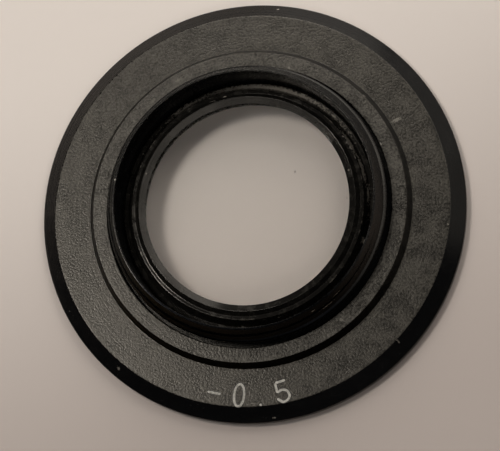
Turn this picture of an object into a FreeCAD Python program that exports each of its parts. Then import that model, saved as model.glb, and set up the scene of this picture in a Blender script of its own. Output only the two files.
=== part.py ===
import FreeCAD, Part
import math
import os

# A screw-in eyepiece correction lens, in millimetres. It lies on its eye side, with the lens
# axis along +Z and the threaded collar up. It is three pieces: a turned mount ring, a weak
# meniscus lens that drops into it, and a stepped retaining ring that screws down on the lens.
# Radii are chained inwards and outwards from the thread, and heights upwards from the eye side.

# Thread of the collar
thread_diameter = 14.0
thread_depth = 0.30
thread_length = 0.55
thread_runout = 0.15
lead_in_height = 0.85
collar_rim_width = 0.10
collar_wall = 0.25

# Flange, with its bevelled rim and the raised boss that seats on the eyepiece
rim_land_height = 0.45
rim_bevel_height = 0.55
rim_bevel_width = 0.75
rim_edge_break = 0.08
flange_face_width = 1.85
boss_height = 0.45
boss_wall_lean = 0.20
boss_face_width = 0.77
boss_edge_break = 0.05

# Relief groove round the foot of the thread
relief_gap = 0.18
relief_depth = 0.30

# Seat of the lens
ledge_thickness = 0.45
ledge_width = 0.40
pocket_depth = 0.20
countersink_width = 0.80
countersink_depth = 0.30

# Lens
lens_power_dioptre = -0.5
lens_refractive_index = 1.523
lens_front_radius = 80.0
lens_edge_thickness = 0.75
lens_bevel = 0.08
lens_fit = 0.05

# Retaining ring, from its skirt up to the two steps and the lip round the aperture
ring_fit = 0.05
ring_floor_gap = 0.08
ring_skirt_wall = 0.60
ring_edge_chamfer = 0.10
ring_shoulder_width = 0.20
ring_step_height = 0.48
ring_land_width = 0.18
ring_land_height = 0.50
ring_crest_width = 0.21
ring_crest_height = 0.22
ring_lip_width = 0.33
ring_lip_drop = 0.15
ring_lip_overlap = 0.63
ring_undercut = 0.23

# Two slots for the spanner that screws the retaining ring down
slot_count = 2
slot_width = 1.00
slot_depth = 0.30
slot_wall = 0.10
slot_angle = -13.0

# Radii worked out from the thread outwards
thread_radius = thread_diameter / 2
thread_root_radius = thread_radius - thread_depth
relief_radius = thread_radius + relief_gap
boss_top_radius = relief_radius + boss_face_width
boss_foot_radius = boss_top_radius + boss_wall_lean
flange_face_radius = boss_foot_radius + flange_face_width
flange_radius = flange_face_radius + rim_bevel_width

# Radii worked out from the thread inwards
bore_radius = thread_root_radius - collar_wall
ring_radius = bore_radius - ring_fit
lens_recess_radius = ring_radius - ring_skirt_wall
lens_radius = lens_recess_radius - lens_fit
lens_surface_radius = lens_radius - lens_bevel
eye_opening_radius = lens_radius - ledge_width
aperture_radius = lens_radius - ring_lip_overlap

# Heights above the eye side
flange_face_z = rim_land_height + rim_bevel_height
boss_face_z = flange_face_z + boss_height
thread_start_z = boss_face_z + thread_runout
thread_end_z = thread_start_z + thread_length
collar_top_z = thread_end_z + lead_in_height
bore_floor_z = ledge_thickness + pocket_depth
lens_edge_top_z = ledge_thickness + lens_edge_thickness


def sag(surface_radius, distance):
    """Depth of a spherical surface at a distance from the lens axis."""
    return surface_radius - math.sqrt(surface_radius**2 - distance**2)


def lens_back_radius():
    """Radius of the hollow eye-side surface that gives the lens its power, by the thin-lens formula."""
    front_curvature = 1000 / lens_front_radius
    back_curvature = front_curvature - lens_power_dioptre / (lens_refractive_index - 1)
    return 1000 / back_curvature


def lens_front_z(distance):
    """Height of the lens's upper surface at a distance from the axis."""
    edge_sag = sag(lens_front_radius, lens_surface_radius)
    return lens_edge_top_z + edge_sag - sag(lens_front_radius, distance)


def lens_back_z(distance):
    """Height of the lens's eye-side surface at a distance from the axis."""
    back_radius = lens_back_radius()
    edge_sag = sag(back_radius, lens_surface_radius)
    return ledge_thickness + edge_sag - sag(back_radius, distance)


def point(radius, height):
    """A point of a half section, which lies in the XZ plane."""
    return FreeCAD.Vector(radius, 0, height)


def turned(edges):
    """The solid swept by a closed half section turned about the lens axis."""
    section = Part.Face(Part.Wire(edges))
    return section.revolve(FreeCAD.Vector(0, 0, 0), FreeCAD.Vector(0, 0, 1), 360)


def straight_edges(corners):
    """Straight edges through the corners, closed back to the first one."""
    pairs = zip(corners, corners[1:] + corners[:1])
    return [Part.LineSegment(start, end).toShape() for start, end in pairs]


def mount_ring():
    """The turned body: flange, boss, threaded collar, bore and the ledge that carries the lens."""
    flange_side = [
        point(flange_radius - rim_edge_break, 0),
        point(flange_radius, rim_edge_break),
        point(flange_radius, rim_land_height),
        point(flange_face_radius, flange_face_z),
    ]
    boss = [
        point(boss_foot_radius, flange_face_z),
        point(boss_top_radius, boss_face_z - boss_edge_break),
        point(boss_top_radius - boss_edge_break, boss_face_z),
        point(relief_radius, boss_face_z),
        point(relief_radius, boss_face_z - relief_depth),
        point(thread_root_radius, boss_face_z - relief_depth),
    ]
    collar = [
        point(thread_root_radius, boss_face_z),
        point(thread_radius, thread_start_z),
        point(thread_radius, thread_end_z),
        point(bore_radius + collar_rim_width, collar_top_z),
        point(bore_radius, collar_top_z),
    ]
    lens_seat = [
        point(bore_radius, bore_floor_z),
        point(lens_recess_radius, bore_floor_z),
        point(lens_recess_radius, ledge_thickness),
        point(eye_opening_radius, ledge_thickness),
        point(eye_opening_radius, countersink_depth),
        point(eye_opening_radius + countersink_width, 0),
    ]
    return turned(straight_edges(flange_side + boss + collar + lens_seat))


def lens():
    """The weak meniscus: hollow towards the eye, bulging towards the eyepiece, with ground bevels."""
    half_way = lens_surface_radius / 2
    back_centre = point(0, lens_back_z(0))
    back_edge = point(lens_surface_radius, ledge_thickness)
    front_edge = point(lens_surface_radius, lens_edge_top_z)
    front_centre = point(0, lens_front_z(0))
    lower_rim = point(lens_radius, ledge_thickness + lens_bevel)
    upper_rim = point(lens_radius, lens_edge_top_z - lens_bevel)
    edges = [
        Part.Arc(back_centre, point(half_way, lens_back_z(half_way)), back_edge).toShape(),
        Part.LineSegment(back_edge, lower_rim).toShape(),
        Part.LineSegment(lower_rim, upper_rim).toShape(),
        Part.LineSegment(upper_rim, front_edge).toShape(),
        Part.Arc(front_edge, point(half_way, lens_front_z(half_way)), front_centre).toShape(),
        Part.LineSegment(front_centre, back_centre).toShape(),
    ]
    return turned(edges)


def spanner_slot(angle, floor_z, inner_radius, top_z):
    """The block that cuts one slot out of the retaining ring, at an angle round the axis."""
    length = ring_radius + slot_width - inner_radius
    corner = FreeCAD.Vector(inner_radius, -slot_width / 2, floor_z)
    block = Part.makeBox(length, slot_width, top_z - floor_z, corner)
    block.rotate(FreeCAD.Vector(0, 0, 0), FreeCAD.Vector(0, 0, 1), angle)
    return block


def retaining_ring():
    """The stepped ring that holds the lens down, with its skirt round the lens and two slots."""
    undercut_radius = aperture_radius + ring_undercut
    crest_radius = aperture_radius + ring_lip_width
    land_inner_radius = crest_radius + ring_crest_width
    land_outer_radius = land_inner_radius + ring_land_width
    shoulder_outer_radius = ring_radius - ring_edge_chamfer
    shoulder_inner_radius = shoulder_outer_radius - ring_shoulder_width
    underside_z = lens_front_z(undercut_radius)
    land_z = underside_z + ring_land_height
    shoulder_z = land_z - ring_step_height
    crest_z = land_z + ring_crest_height
    skirt_bottom_z = bore_floor_z + ring_floor_gap
    skirt = [
        point(undercut_radius, underside_z),
        point(lens_recess_radius, underside_z),
        point(lens_recess_radius, skirt_bottom_z),
        point(ring_radius, skirt_bottom_z),
    ]
    steps = [
        point(ring_radius, shoulder_z - ring_edge_chamfer),
        point(shoulder_outer_radius, shoulder_z),
        point(shoulder_inner_radius, shoulder_z),
        point(land_outer_radius, land_z),
        point(land_inner_radius, land_z),
        point(crest_radius, crest_z),
        point(aperture_radius, crest_z - ring_lip_drop),
    ]
    ring = turned(straight_edges(skirt + steps))
    slot_floor_z = shoulder_z - slot_depth
    slot_inner_radius = lens_recess_radius + slot_wall
    for index in range(slot_count):
        angle = slot_angle + 360 * index / slot_count
        ring = ring.cut(spanner_slot(angle, slot_floor_z, slot_inner_radius, crest_z))
    return ring


def save(name, shape):
    """Write one piece, as a single clean solid, to its own file."""
    solid = shape.removeSplitter().Solids[0]
    solid.exportStep(os.path.join("parts", name + ".step"))
    print(name, "volume", round(solid.Volume, 3), "mm3")


os.makedirs("parts", exist_ok=True)
save("mount_ring", mount_ring())
save("lens", lens())
save("retaining_ring", retaining_ring())
print("overall diameter", 2 * flange_radius, "mm, height", collar_top_z, "mm")
print("lens diameter", 2 * lens_radius, "mm, eye-side radius", round(lens_back_radius(), 2), "mm")
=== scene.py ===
"""A screw-in eyepiece correction lens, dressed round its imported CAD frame.

The part lies on its eye side with the threaded collar up: a turned black mount ring, a weak minus
lens, and the stepped ring that screws down on it. Sizes are in millimetres, as on the part's own
section, and each mesh is written in metres.
"""

import logging
import math
from dataclasses import dataclass
from enum import Enum

import bpy
import numpy as np
from mathutils import Matrix, Vector


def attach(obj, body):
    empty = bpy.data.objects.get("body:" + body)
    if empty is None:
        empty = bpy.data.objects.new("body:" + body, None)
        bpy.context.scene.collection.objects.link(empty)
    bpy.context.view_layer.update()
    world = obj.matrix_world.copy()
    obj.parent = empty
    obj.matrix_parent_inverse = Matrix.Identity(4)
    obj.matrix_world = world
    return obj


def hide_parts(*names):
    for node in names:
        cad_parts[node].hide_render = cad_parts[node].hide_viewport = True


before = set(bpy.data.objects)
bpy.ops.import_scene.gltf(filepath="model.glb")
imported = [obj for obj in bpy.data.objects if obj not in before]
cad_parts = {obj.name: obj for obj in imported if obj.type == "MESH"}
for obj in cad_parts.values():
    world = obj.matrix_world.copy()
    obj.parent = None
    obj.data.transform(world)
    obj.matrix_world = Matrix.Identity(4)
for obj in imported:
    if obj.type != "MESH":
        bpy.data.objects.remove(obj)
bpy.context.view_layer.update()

MM = 0.001
FULL_TURN = 2 * math.pi
BODY = "root"

log = logging.getLogger("correction_lens")


class Surface(Enum):
    """How a stretch of a turned section was left: its share of grain, its share of painted near-side shade
    (metallic black that mirrors almost nothing), and its roughness.
    """

    BLASTED = (1.0, 0.0, 0.33)
    STEP = (0.5, 1.0, 0.33)
    THREADED = (0.3, 1.0, 0.25)
    TURNED = (0.3, 0.0, 0.23)
    BORE = (0.0, 0.0, 0.28)


@dataclass(frozen=True)
class Corner:
    """A corner of a turned section.

    Attributes:
        radius: distance from the lens axis.
        height: height above the eye side.
        rounding: how far back along both of its edges the corner is rounded.
        surface: finish of the edge that runs on to the next corner.
        row_gap: longest step between two rows of points on that edge.
        rub_and_light: share of the rubbed-metal colour on that edge; on the lens ledge it is painted light in
            a shaded recess.
        worn: how readily the corner itself is worn, from 0 to 1.
    """

    radius: float
    height: float
    rounding: float = 0.03
    surface: Surface = Surface.TURNED
    row_gap: float = 1.0
    rub_and_light: float = 0.0
    worn: float = 1.0


@dataclass(frozen=True)
class SectionRows:
    """Rows of points down a turned section, as arrays of one length.

    Attributes:
        radius: distance of each row from the lens axis.
        height: height of each row.
        edge: 1 on a rounded outer corner and 0 elsewhere.
        grain: share of blasted grain on each row.
        near_side_shade: share of painted near-side shade on each row, metallic black that hardly mirrors.
        rough: roughness of each row.
        rub_and_light: share of the rubbed-metal colour on each row, painted light where it lightens the
            shaded lens ledge.
    """

    radius: np.ndarray
    height: np.ndarray
    edge: np.ndarray
    grain: np.ndarray
    near_side_shade: np.ndarray
    rough: np.ndarray
    rub_and_light: np.ndarray


def rounded_rows(corners: list[Corner], arc_steps: int = 4) -> SectionRows:
    """Round the corners of a closed section and lay rows of points along it.

    With unit vectors a and b from a corner C to its neighbours and a cut-back t, the corner becomes
    the parabola (1-s)^2 (C + t a) + 2 s (1-s) C + s^2 (C + t b), for s from 0 to 1. One more row on
    each side, at twice the cut-back, keeps the flats flat when they are shaded smooth. The edge mask
    swells along the corner as gain sin - drop, held to 0 and 1.

    Args:
        corners: sharp corners in order, with the solid on the left.
        arc_steps: steps along each parabola.

    Returns:
        The rows, with longer edges divided to their row gap.
    """
    most_cut = 0.22
    round_off = 1e-9
    gain = 1.6
    drop = 0.4
    sharp = np.array([(corner.radius, corner.height) for corner in corners])
    ahead = np.roll(sharp, -1, axis=0) - sharp
    reach = np.linalg.norm(ahead, axis=1)
    onward = ahead / reach[:, None]
    inward = -np.roll(onward, 1, axis=0)
    shortest = np.minimum(reach, np.roll(reach, 1))
    cut = np.minimum([corner.rounding for corner in corners], most_cut * shortest)[:, None, None]
    s = np.linspace(0, 1, arc_steps + 1)[None, :, None]
    start = sharp[:, None] + cut * inward[:, None]
    end = sharp[:, None] + cut * onward[:, None]
    arcs = (1 - s) ** 2 * start + 2 * s * (1 - s) * sharp[:, None] + s**2 * end
    before = sharp[:, None] + 2 * cut * inward[:, None]
    after = sharp[:, None] + 2 * cut * onward[:, None]
    points = np.concatenate([before, arcs, after], axis=1)

    count = arc_steps + 3
    turn = -(inward[:, 0] * onward[:, 1] - inward[:, 1] * onward[:, 0])
    swell = np.clip(gain * np.sin(np.linspace(0, math.pi, count)) - drop, 0, 1)
    worn = np.array([corner.worn for corner in corners])
    edge = (worn * np.clip(turn, 0, 1))[:, None] * swell[None, :]
    own = np.array([(*corner.surface.value, corner.rub_and_light) for corner in corners])[:, None]
    blend = np.linspace(0, 1, count)[None, :, None]
    finish = np.roll(own, 1, axis=0) * (1 - blend) + own * blend

    rows = np.column_stack([points.reshape(-1, 2), edge.reshape(-1), finish.reshape(-1, 4)])
    step = np.roll(rows, -1, axis=0) - rows
    gaps = np.ones((len(corners), count))
    gaps[:, -1] = [corner.row_gap for corner in corners]
    parts = np.ceil(np.linalg.norm(step[:, :2], axis=1) / gaps.reshape(-1) - round_off)
    parts = np.maximum(parts.astype(int), 1)
    which = np.repeat(np.arange(len(rows)), parts)
    share = np.arange(parts.sum()) - np.repeat(np.cumsum(parts) - parts, parts)
    share = share / parts[which]
    filled = rows[which] + share[:, None] * step[which]
    return SectionRows(*filled.T)


def ring_faces(rows: int, columns: int) -> np.ndarray:
    """Corner numbers of the quads of a grid that is closed along its rows and round its columns.

    Args:
        rows: points along the section.
        columns: points round the axis, counter-clockwise.

    Returns:
        One line of four vertex numbers for each quad, facing outwards.
    """
    i, j = np.meshgrid(np.arange(rows), np.arange(columns), indexing="ij")
    row = i * columns
    above = (i + 1) % rows * columns
    beside = (j + 1) % columns
    quads = [row + j, row + beside, above + beside, above + j]
    return np.stack(quads, axis=-1).reshape(-1, 4)


def turned_points(radius: np.ndarray, turn: np.ndarray, height: np.ndarray) -> np.ndarray:
    """Return the points (r cos t, r sin t, z) of arrays that fit together, one line each."""
    point = np.broadcast_arrays(radius * np.cos(turn), radius * np.sin(turn), height)
    return np.stack(point, axis=-1).reshape(-1, 3)


def put_mesh(
    name: str,
    points: np.ndarray,
    faces: list[list[int]],
    attributes: dict[str, np.ndarray],
    material: bpy.types.Material,
) -> bpy.types.Object:
    """Make a smooth-shaded piece of the part from arrays.

    Args:
        name: name of the piece.
        points: vertices in millimetres, one line each.
        faces: vertex numbers of each face.
        attributes: one value a vertex for each name that the finish reads.
        material: the finish.

    Returns:
        The new object, at the origin.
    """
    mesh = bpy.data.meshes.new(name)
    mesh.from_pydata((points * MM).tolist(), [], faces)
    mesh.polygons.foreach_set("use_smooth", np.ones(len(mesh.polygons), dtype=bool))
    for key, values in attributes.items():
        layer = mesh.attributes.new(key, "FLOAT", "POINT")
        layer.data.foreach_set("value", np.ascontiguousarray(values, dtype=np.float32))
    mesh.validate()
    mesh.update()
    piece = bpy.data.objects.new(name, mesh)
    bpy.context.scene.collection.objects.link(piece)
    mesh.materials.append(material)
    return piece


def add_piece(piece: bpy.types.Object, slot: str, *nodes: str) -> None:
    """Ride a piece on the body and hide the CAD nodes that it stands for.

    Args:
        piece: the finished piece.
        slot: material slot in the record; not used.
        nodes: CAD nodes that the piece replaces.
    """
    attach(piece, BODY)
    if nodes:
        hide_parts(*nodes)
    log.info("%s: %d vertices, %d faces", piece.name, len(piece.data.vertices), len(piece.data.polygons))


Socket = bpy.types.NodeSocket
Source = Socket | float | tuple


class NodeBench:
    """Lays shader nodes in one tree and links them."""

    def __init__(self, tree: bpy.types.NodeTree) -> None:
        """Keep the tree that the nodes go into."""
        self.tree = tree

    def feed(self, socket: Socket, source: Source) -> None:
        """Link a socket to another, or set its own value."""
        if isinstance(source, Socket):
            self.tree.links.new(source, socket)
        else:
            socket.default_value = source

    def add(self, kind: str, inputs: dict | None = None, **settings) -> bpy.types.Node:
        """Add a node.

        Args:
            kind: type of the node.
            inputs: a source for each named or numbered input.
            settings: the node's own settings.

        Returns:
            The node.
        """
        node = self.tree.nodes.new(kind)
        for key, value in settings.items():
            setattr(node, key, value)
        for key, source in (inputs or {}).items():
            self.feed(node.inputs[key], source)
        return node

    def math(self, operation: str, *terms: Source, clamp: bool = False) -> Socket:
        """Return the result of a Math node on one to three terms."""
        node = self.add("ShaderNodeMath", dict(enumerate(terms)), operation=operation, use_clamp=clamp)
        return node.outputs[0]

    def times(self, value: Source, factor: Source) -> Socket:
        """Return a value times a factor."""
        return self.math("MULTIPLY", value, factor)

    def vectors(self, operation: str, *terms: Source) -> Socket:
        """Return the vector that a Vector Math node makes of two terms."""
        return self.add("ShaderNodeVectorMath", dict(enumerate(terms)), operation=operation).outputs[0]

    def join(self, x: Source, y: Source, z: Source = 0.0) -> Socket:
        """Return the vector with these parts."""
        return self.add("ShaderNodeCombineXYZ", {"X": x, "Y": y, "Z": z}).outputs[0]

    def parts(self, vector: Source) -> tuple[Socket, ...]:
        """Return the X, Y and Z of a vector."""
        return tuple(self.add("ShaderNodeSeparateXYZ", {0: vector}).outputs)

    def length(self, x: Source, y: Source) -> Socket:
        """Return the length of the flat vector with these parts."""
        node = self.add("ShaderNodeVectorMath", {0: self.join(x, y)}, operation="LENGTH")
        return node.outputs["Value"]

    def span(
        self, value: Source, low: Source, high: Source, to_low: Source = 0.0, to_high: Source = 1.0
    ) -> Socket:
        """Carry a value smoothly from one range to another, held at its ends.

        Args:
            value: the value.
            low: where the first range starts, above high to turn it round.
            high: where it ends.
            to_low: the result for low.
            to_high: the result for high.

        Returns:
            The result.
        """
        inputs = {"Value": value, "From Min": low, "From Max": high, "To Min": to_low, "To Max": to_high}
        node = self.add("ShaderNodeMapRange", inputs, interpolation_type="SMOOTHSTEP")
        return node.outputs["Result"]

    def tint(self, share: Source, first: Source, second: Source) -> Socket:
        """Mix two colours.

        Args:
            share: share of the second colour.
            first: the first colour.
            second: the second colour.

        Returns:
            The mixed colour.
        """
        node = self.add("ShaderNodeMix", data_type="RGBA", clamp_factor=True)
        self.feed(node.inputs["Factor"], share)
        self.feed(node.inputs[6], first)
        self.feed(node.inputs[7], second)
        return node.outputs[2]

    def noise(self, vector: Source, scale: Source, detail: float, roughness: float = 0.5) -> Socket:
        """Return the value of a noise texture, which keeps mostly between 0.3 and 0.7."""
        inputs = {"Vector": vector, "Scale": scale, "Detail": detail, "Roughness": roughness}
        return self.add("ShaderNodeTexNoise", inputs).outputs["Fac"]

    def attribute(self, name: str) -> Socket:
        """Return a value that the mesh holds at each point."""
        return self.add("ShaderNodeAttribute", attribute_name=name).outputs["Fac"]

    def relief(self, height: Source, depth: float) -> Socket:
        """Return the normal of a relief, from its height of 0 to 1 and its depth in millimetres."""
        inputs = {"Height": height, "Strength": 1.0, "Distance": depth * MM}
        return self.add("ShaderNodeBump", inputs).outputs[0]

    def principled(self, inputs: dict[str, Source]) -> Socket:
        """Return a Principled shader with these inputs."""
        return self.add("ShaderNodeBsdfPrincipled", inputs).outputs[0]

    def effect(self, group: bpy.types.NodeTree, **inputs: Source) -> bpy.types.NodeOutputs:
        """Place a shared effect.

        Args:
            group: the effect's node group.
            inputs: a source for each of its inputs.

        Returns:
            The effect's outputs.
        """
        node = self.add("ShaderNodeGroup", node_tree=group)
        for key, source in inputs.items():
            self.feed(node.inputs[key], source)
        return node.outputs


def new_effect(
    name: str, inputs: dict[str, str], outputs: dict[str, str]
) -> tuple[NodeBench, bpy.types.NodeOutputs, bpy.types.NodeInputs]:
    """Start a shared effect.

    Args:
        name: name of the node group.
        inputs: short socket kind for each named input.
        outputs: short socket kind for each named output.

    Returns:
        A bench for the group's tree, the sockets given to it, and the sockets that it puts out.
    """
    tree = bpy.data.node_groups.new(name, "ShaderNodeTree")
    for side, sockets in (("INPUT", inputs), ("OUTPUT", outputs)):
        for key, kind in sockets.items():
            tree.interface.new_socket(key, in_out=side, socket_type="NodeSocket" + kind)
    given = tree.nodes.new("NodeGroupInput")
    out = tree.nodes.new("NodeGroupOutput")
    return NodeBench(tree), given.outputs, out.inputs


class Effects:
    """Shared shader effects, each built once. Lengths in them are millimetres on the part."""

    def __init__(self) -> None:
        """Build every effect."""
        self.place = self.build_place()
        self.grain = self.build_grain()
        self.marks = self.build_marks()
        self.wear_and_glint = self.build_wear_and_glint()
        self.specks = self.build_specks()
        self.fleck = self.build_fleck()

    @staticmethod
    def build_place() -> bpy.types.NodeTree:
        """Place on the part: the point in millimetres, and the same as radius, turn and height."""
        bench, _, out = new_effect("place_on_part", {}, {"Point": "Vector", "Polar": "Vector"})
        metres = bench.add("ShaderNodeTexCoord").outputs["Object"]
        point = bench.vectors("MULTIPLY", metres, (1 / MM, 1 / MM, 1 / MM))
        x, y, z = bench.parts(point)
        polar = bench.join(bench.length(x, y), bench.math("ARCTAN2", y, x), z)
        bench.feed(out["Point"], point)
        bench.feed(out["Polar"], polar)
        return bench.tree

    @staticmethod
    def build_grain() -> bpy.types.NodeTree:
        """Blasted grain: close pebbles for the relief, and a broader mottle for the shade."""
        inputs = {"Point": "Vector", "Size": "Float"}
        bench, given, out = new_effect("blasted_grain", inputs, {"Height": "Float", "Mottle": "Float"})
        broad_scale = 0.16
        pebble_share = 0.62
        scale = bench.math("DIVIDE", 1.0, given["Size"])
        pebbles = bench.noise(given["Point"], scale, detail=2.5, roughness=0.62)
        broad = bench.noise(given["Point"], bench.times(scale, broad_scale), detail=3.0)
        broad = bench.times(broad, 1 - pebble_share)
        shade = bench.math("MULTIPLY_ADD", pebbles, pebble_share, broad)
        bench.feed(out["Height"], bench.span(pebbles, 0.28, 0.74))
        bench.feed(out["Mottle"], bench.span(shade, 0.34, 0.68))
        return bench.tree

    @staticmethod
    def build_marks() -> bpy.types.NodeTree:
        """Turning marks: fine rings round the axis that fade in and out along their way."""
        inputs = {"Polar": "Vector", "Spacing": "Float", "Run": "Float"}
        bench, given, out = new_effect("turning_marks", inputs, {"Height": "Float", "Shade": "Float"})
        fade_scale = 1.3
        close = bench.math("DIVIDE", 1.0, given["Spacing"])
        rings = bench.vectors("MULTIPLY", given["Polar"], bench.join(close, given["Run"], close))
        line = bench.noise(rings, 1.0, detail=1.5, roughness=0.6)
        strength = bench.span(bench.noise(given["Polar"], fade_scale, detail=1.0), 0.40, 0.62)
        bench.feed(out["Height"], bench.times(bench.span(line, 0.35, 0.65), strength))
        bench.feed(out["Shade"], bench.times(bench.span(line, 0.52, 0.78), strength))
        return bench.tree

    @staticmethod
    def build_wear_and_glint() -> bpy.types.NodeTree:
        """Rubbed edges and painted glints: the edge mask of the mesh, broken up by noise; where the mask
        holds the thread's crests, it paints glints along them.
        """
        inputs = {"Point": "Vector", "Edge": "Float", "Amount": "Float"}
        bench, given, out = new_effect("rubbed_edges_and_glints", inputs, {"Mask": "Float"})
        patch_scale = 1.1
        never = 0.80
        softness = 0.18
        patches = bench.noise(given["Point"], patch_scale, detail=4.0, roughness=0.7)
        needed = bench.math("SUBTRACT", never, given["Amount"])
        rubbed_and_glint = bench.span(patches, needed, bench.math("ADD", needed, softness))
        bench.feed(out["Mask"], bench.times(rubbed_and_glint, given["Edge"]))
        return bench.tree

    @staticmethod
    def build_specks() -> bpy.types.NodeTree:
        """Settled dust: a speck of uneven size in some of the cells that share out the surface."""
        inputs = {"Point": "Vector", "Size": "Float", "Amount": "Float"}
        bench, given, out = new_effect("settled_specks", inputs, {"Mask": "Float"})
        widest = 0.34
        core = 0.4
        scale = bench.math("DIVIDE", 1.0, given["Size"])
        cells = bench.add("ShaderNodeTexVoronoi", {"Vector": given["Point"], "Scale": scale}, feature="F1")
        draw = bench.add("ShaderNodeSeparateColor", {0: cells.outputs["Color"]}).outputs
        wide = bench.times(draw["Green"], widest)
        dot = bench.span(cells.outputs["Distance"], wide, bench.times(wide, core))
        chosen = bench.math("LESS_THAN", draw["Red"], given["Amount"])
        bench.feed(out["Mask"], bench.times(dot, chosen))
        return bench.tree

    @staticmethod
    def build_fleck() -> bpy.types.NodeTree:
        """One fleck or smear: an oval with a ragged outline, round a place by radius, turn and height."""
        kinds = {"Point": "Vector", "Polar": "Vector", "Place": "Vector", "Along": "Float", "Across": "Float"}
        bench, given, out = new_effect("single_fleck", kinds, {"Mask": "Float"})
        ragged_scale = 9.0
        least_reach = 0.35
        most_reach = 1.4
        core = 0.45
        outward, turned, upward = bench.parts(bench.vectors("SUBTRACT", given["Polar"], given["Place"]))
        radius = bench.parts(given["Polar"])[0]
        along = bench.math("DIVIDE", bench.times(turned, radius), given["Along"])
        across = bench.math("DIVIDE", bench.length(outward, upward), given["Across"])
        ragged = bench.noise(given["Point"], ragged_scale, detail=3.0, roughness=0.7)
        reach = bench.span(ragged, 0.3, 0.7, least_reach, most_reach)
        mask = bench.span(bench.length(along, across), reach, bench.times(reach, core))
        bench.feed(out["Mask"], mask)
        return bench.tree


@dataclass(frozen=True)
class Fleck:
    """A fleck or smear on the part.

    Attributes:
        turn: angle round the axis in degrees, from -180 to 180.
        radius: distance from the axis.
        height: height above the eye side.
        along: half its length round the axis.
        across: half its width across that.
        strength: how much of the surface's own colour it hides.
    """

    turn: float
    radius: float
    height: float
    along: float
    across: float
    strength: float

    def place(self) -> tuple[float, float, float]:
        """Return the place as radius, turn in radians and height."""
        return self.radius, math.radians(self.turn), self.height


RING_FLECKS = (
    Fleck(29.1, 8.50, 1.02, 0.13, 0.36, 0.30),
    Fleck(26.6, 7.10, 1.45, 0.07, 0.07, 0.7),
    Fleck(169.6, 6.51, 3.00, 0.08, 0.05, 0.8),
    Fleck(82.2, 10.49, 0.64, 0.10, 0.06, 0.8),
    Fleck(-130.2, 10.32, 0.77, 0.16, 0.10, 0.45),
    Fleck(-83.6, 10.58, 0.57, 0.12, 0.05, 0.55),
    Fleck(-43.7, 10.10, 0.92, 0.05, 0.16, 0.35),
    Fleck(-112.6, 9.41, 1.00, 0.05, 0.05, 0.7),
    Fleck(-109.5, 9.18, 1.00, 0.05, 0.04, 0.6),
    Fleck(-104.7, 9.34, 1.00, 0.09, 0.07, 0.30),
    Fleck(-101.4, 9.76, 1.00, 0.12, 0.03, 0.35),
    Fleck(-88.6, 9.84, 1.00, 0.30, 0.03, 0.35),
    Fleck(131.0, 7.45, 1.45, 0.24, 0.12, 0.14),
    Fleck(118.0, 7.55, 1.45, 0.30, 0.10, 0.12),
    Fleck(22.8, 7.24, 1.45, 0.10, 0.05, 0.55),
    Fleck(-7.4, 9.94, 1.00, 0.06, 0.05, 0.6),
    Fleck(-53.0, 6.78, 2.55, 0.50, 0.035, 0.45),
    Fleck(-58.5, 6.66, 2.80, 0.16, 0.03, 0.6),
    Fleck(-47.0, 6.70, 2.72, 0.22, 0.03, 0.5),
    Fleck(-92.0, 7.00, 2.10, 0.40, 0.03, 0.35),
)
SLOT_FLECKS = (
    Fleck(-19.0, 6.00, 1.28, 0.26, 0.22, 0.35),
    Fleck(-8.0, 6.00, 1.34, 0.34, 0.07, 0.40),
    Fleck(29.0, 5.90, 1.60, 0.95, 0.20, 0.42),
    Fleck(15.0, 5.96, 1.50, 1.00, 0.19, 0.42),
    Fleck(3.0, 6.03, 1.38, 0.70, 0.16, 0.34),
    Fleck(167.5, 5.96, 1.00, 0.25, 0.12, 0.25),
    Fleck(-81.6, 5.89, 1.60, 0.14, 0.05, 0.16),
    Fleck(-74.6, 5.94, 1.55, 0.12, 0.05, 0.15),
    Fleck(101.3, 5.67, 1.72, 0.10, 0.05, 0.40),
    Fleck(108.0, 5.62, 1.76, 0.22, 0.03, 0.30),
    Fleck(27.7, 5.87, 1.66, 0.09, 0.08, 0.35),
    # The next two long flecks lay a pale band on the shoulder, which lies in shade: painted sheen.
    Fleck(122.0, 6.10, 1.25, 1.60, 0.22, 0.55),
    Fleck(84.0, 6.14, 1.25, 6.20, 0.22, 0.26),
)
GLASS_FLECKS = (Fleck(34.4, 2.86, 1.35, 0.10, 0.08, 0.8), Fleck(2.0, 4.94, 1.25, 0.07, 0.06, 0.7))


class FinishBench(NodeBench):
    """Lays the nodes of one finish.

    Attributes:
        effects: the shared effects.
        point: the point on the part in millimetres.
        polar: the same point as radius, turn and height.
    """

    def __init__(self, tree: bpy.types.NodeTree, effects: Effects) -> None:
        """Keep the tree and the effects, and find the place on the part.

        Args:
            tree: the material's tree.
            effects: the shared effects.
        """
        super().__init__(tree)
        self.effects = effects
        self.point, self.polar = self.effect(effects.place)

    def marks(self, spacing: float, run: float) -> bpy.types.NodeOutputs:
        """Return the height and shade of turning marks."""
        return self.effect(self.effects.marks, Polar=self.polar, Spacing=spacing, Run=run)

    def dust(self, size: float, amount: float) -> Socket:
        """Return the mask of settled dust."""
        return self.effect(self.effects.specks, Point=self.point, Size=size, Amount=amount)["Mask"]

    def wear_and_glint(self, amount: float) -> Socket:
        """Return the mask of rubbed edges and of painted glints on the thread's crests, from the mesh's edge
        attribute.
        """
        edge = self.attribute("edge")
        return self.effect(self.effects.wear_and_glint, Point=self.point, Edge=edge, Amount=amount)["Mask"]

    def dirt_and_sheen(self, flecks: tuple[Fleck, ...]) -> Source:
        """Join the masks of several flecks.

        Args:
            flecks: the flecks.

        Returns:
            The mask of the strongest one at each point.
        """
        mask: Source = 0.0
        for fleck in flecks:
            sizes = {"Place": fleck.place(), "Along": fleck.along, "Across": fleck.across}
            one = self.effect(self.effects.fleck, Point=self.point, Polar=self.polar, **sizes)
            mask = self.math("MAXIMUM", mask, self.times(one["Mask"], fleck.strength))
        return mask


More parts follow.
